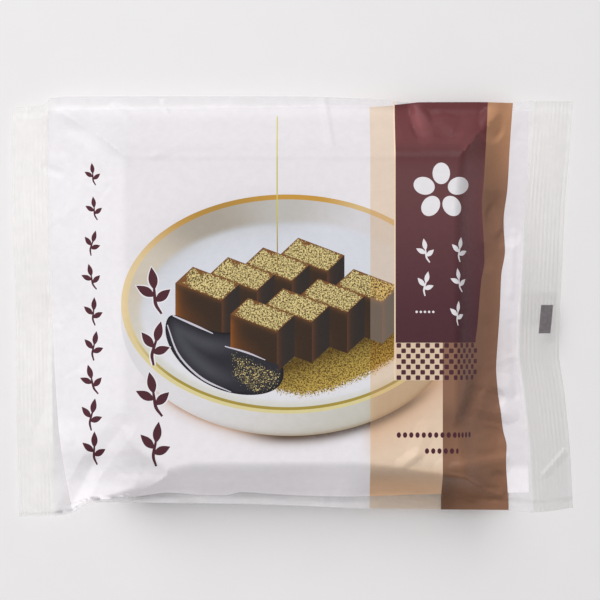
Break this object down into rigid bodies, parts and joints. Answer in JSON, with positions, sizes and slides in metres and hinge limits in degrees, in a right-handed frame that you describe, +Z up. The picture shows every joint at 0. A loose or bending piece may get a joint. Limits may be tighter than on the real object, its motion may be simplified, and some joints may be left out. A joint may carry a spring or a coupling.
{
  "type": "sealed pillow pack of yokan sweets",
  "caption": "Flat-lying sealed film pillow pack for sweets: shallow tray bulge, ribbed end seals, folded long edges, back fin seal, printed front.",
  "frame": {"origin": "under the middle of the pack, on the surface it rests on", "axes": "+X along the pack from one end seal to the other, with the dark band near the +X end; +Y across the pack, from its lower to its upper long edge; +Z up, out of the printed front"},
  "size_m": [0.1917, 0.143, 0.0204],
  "materials": {
    "printed_film": "matt printed film, white with a maroon, brown and beige band",
    "clear_film": "unprinted see-through film at the long edges",
    "seal_film": "two layers of see-through film pressed into fine ribs",
    "tinted_film": "see-through film with beige ink",
    "dark_ink": "grey printed register mark"
  },
  "bodies": {
    "root": {"pack": "printed_film"}
  },
  "joints": []
}
